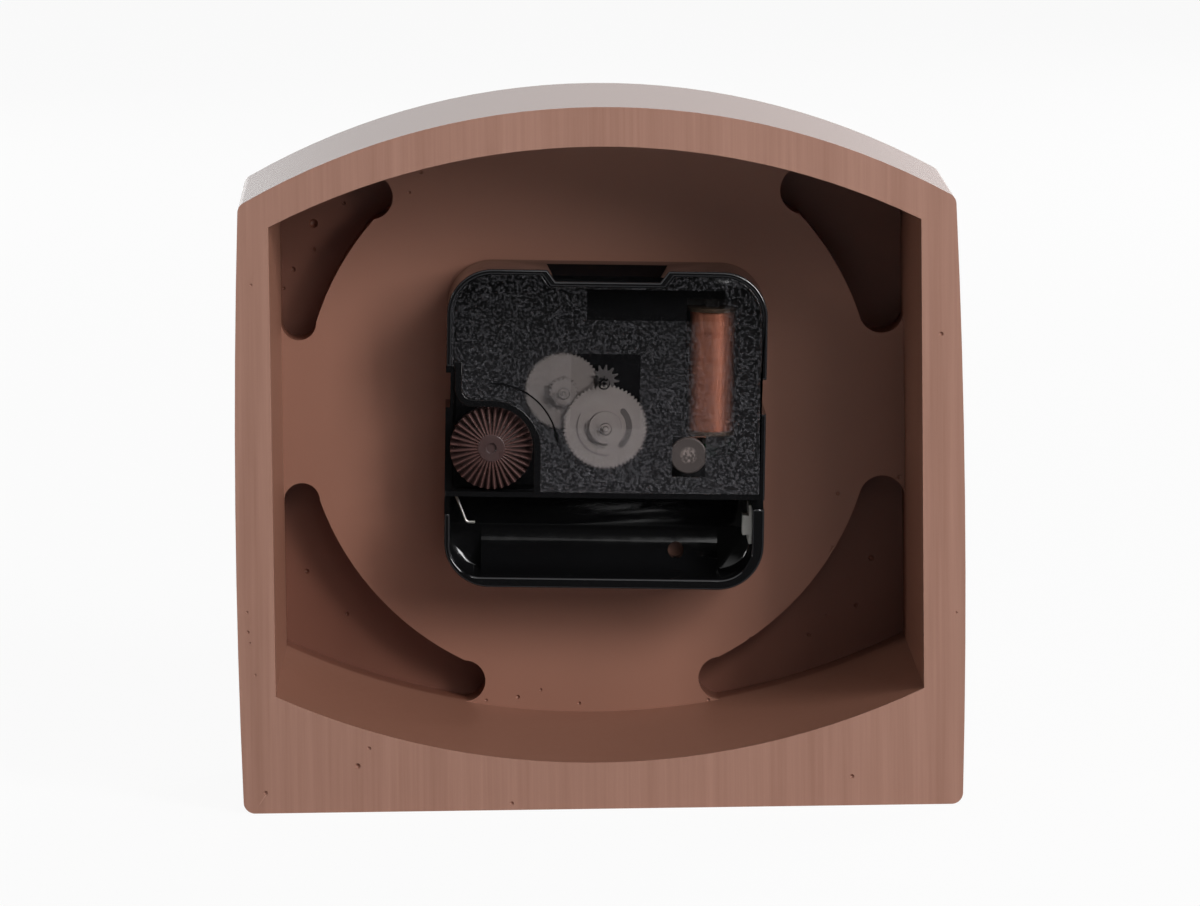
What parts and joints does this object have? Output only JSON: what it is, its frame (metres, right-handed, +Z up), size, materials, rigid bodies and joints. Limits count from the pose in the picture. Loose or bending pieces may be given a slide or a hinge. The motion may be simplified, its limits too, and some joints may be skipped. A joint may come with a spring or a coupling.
{
  "type": "shelf clock",
  "caption": "Squat arched shelf clock in cast resin, open at the back, with a snap-in quartz movement, hands, dial, lens and bezel.",
  "frame": {"origin": "middle of the case's foot, on the surface it stands on, half way between the bezel's face and the case's back edge", "axes": "+X right and +Z up as seen from the dial side, +Y towards the open back"},
  "size_m": [0.126, 0.053, 0.122],
  "materials": {
    "cast_resin": "sanded satin, with small pinholes",
    "bezel_brass": "satin",
    "lens_glass": "clear and polished",
    "dial_card": "matte print on card",
    "hand_black": "satin black",
    "fixing_brass": "turned",
    "gasket_rubber": "matte",
    "housing_black": "glossy moulded",
    "cover_smoky": "smoky clear with a frosted face",
    "wheel_pale": "natural moulded resin",
    "magnet_grey": "sintered",
    "knob_brown": "satin moulded",
    "soft_iron": "stamped sheet",
    "coil_copper": "enamelled winding",
    "board_green": "solder mask",
    "chip_resin": "potting resin",
    "crystal_can": "bright can",
    "contact_steel": "nickel plated spring strip"
  },
  "bodies": {
    "case": {"case_body": "cast_resin", "bezel": "bezel_brass", "lens": "lens_glass", "dial": "dial_card", "shaft_nut": "fixing_brass", "shaft_washer": "fixing_brass", "threaded_bushing": "fixing_brass", "rubber_gasket": "gasket_rubber", "movement_housing": "housing_black", "movement_cover": "cover_smoky", "middle_plate": "housing_black", "stator": "soft_iron", "coil_core": "soft_iron", "coil_bobbin": "wheel_pale", "coil_winding": "coil_copper", "circuit_board": "board_green", "chip_blob": "chip_resin", "quartz_crystal": "crystal_can", "board_stake": "wheel_pale", "negative_contact": "contact_steel", "positive_contact": "contact_steel"},
    "seconds": {"seconds_wheel": "wheel_pale", "second_hand": "hand_black"},
    "intermediate": {"intermediate_wheel": "wheel_pale"},
    "rotor": {"rotor_pinion": "wheel_pale", "rotor_magnet": "magnet_grey"},
    "third": {"third_wheel": "wheel_pale"},
    "centre": {"centre_wheel": "wheel_pale"},
    "minute": {"minute_arbor": "fixing_brass", "minute_hand": "hand_black"},
    "motion": {"motion_wheel": "wheel_pale"},
    "hour": {"hour_wheel": "wheel_pale", "hour_hand": "hand_black"},
    "setting": {"setting_pinion": "wheel_pale", "setting_knob": "knob_brown"}
  },
  "joints": [
    {"name": "seconds_spin", "type": "hinge", "parent": "case", "child": "seconds", "pos_m": [-0.0014, 0, 0.0637], "axis": [0, 1, 0], "continuous": true},
    {"name": "intermediate_spin", "type": "hinge", "parent": "case", "child": "intermediate", "pos_m": [0.00584, 0, 0.07004], "axis": [0, 1, 0], "continuous": true},
    {"name": "rotor_spin", "type": "hinge", "parent": "case", "child": "rotor", "pos_m": [-0.00122, 0, 0.07176], "axis": [0, 1, 0], "continuous": true},
    {"name": "third_spin", "type": "hinge", "parent": "case", "child": "third", "pos_m": [-0.00769, 0, 0.05966], "axis": [0, 1, 0], "continuous": true},
    {"name": "centre_spin", "type": "hinge", "parent": "case", "child": "centre", "pos_m": [-0.0014, 0, 0.0637], "axis": [0, 1, 0], "continuous": true},
    {"name": "minute_spin", "type": "hinge", "parent": "case", "child": "minute", "pos_m": [-0.0014, 0, 0.0637], "axis": [0, 1, 0], "continuous": true},
    {"name": "motion_spin", "type": "hinge", "parent": "case", "child": "motion", "pos_m": [0.00699, 0, 0.06329], "axis": [0, 1, 0], "continuous": true},
    {"name": "hour_spin", "type": "hinge", "parent": "case", "child": "hour", "pos_m": [-0.0014, 0, 0.0637], "axis": [0, 1, 0], "continuous": true},
    {"name": "setting_spin", "type": "hinge", "parent": "case", "child": "setting", "pos_m": [0.01859, 0, 0.06062], "axis": [0, 1, 0], "continuous": true}
  ],
  "couplings": [
    {"joint": "intermediate_spin", "follows": "seconds_spin", "ratio": -3},
    {"joint": "rotor_spin", "follows": "seconds_spin", "ratio": 30},
    {"joint": "third_spin", "follows": "seconds_spin", "ratio": -0.13333},
    {"joint": "centre_spin", "follows": "seconds_spin", "ratio": 0.016667},
    {"joint": "motion_spin", "follows": "minute_spin", "ratio": -0.33333},
    {"joint": "hour_spin", "follows": "minute_spin", "ratio": 0.083333},
    {"joint": "setting_spin", "follows": "minute_spin", "ratio": 0.375}
  ]
}
